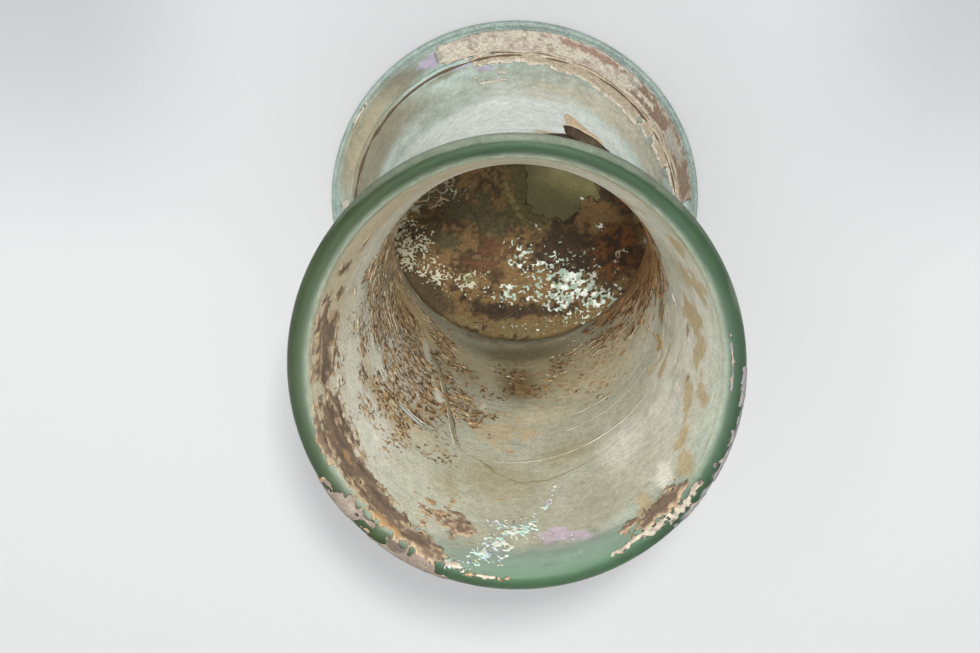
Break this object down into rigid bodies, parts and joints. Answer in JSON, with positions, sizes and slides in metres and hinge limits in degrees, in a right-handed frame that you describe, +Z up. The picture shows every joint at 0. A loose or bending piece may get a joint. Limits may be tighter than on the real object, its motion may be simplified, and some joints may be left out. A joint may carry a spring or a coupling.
{
  "type": "glass beaker",
  "caption": "Ancient blown-glass beaker with a concave body, wide mouth, thick rounded lip and splayed hollow foot, weathered and with a break through its wall.",
  "frame": {"origin": "on the surface it stands on, under the middle of the foot", "axes": "+Z up along the body's axis through the mouth, +Y towards the broken side, +X towards the short open crack"},
  "size_m": [0.0702, 0.0732, 0.098],
  "materials": {
    "weathered_glass": "blue-green blown glass with a matt weathered film, brown crust and iridescent flakes"
  },
  "bodies": {
    "root": {"beaker": "weathered_glass"}
  },
  "joints": []
}
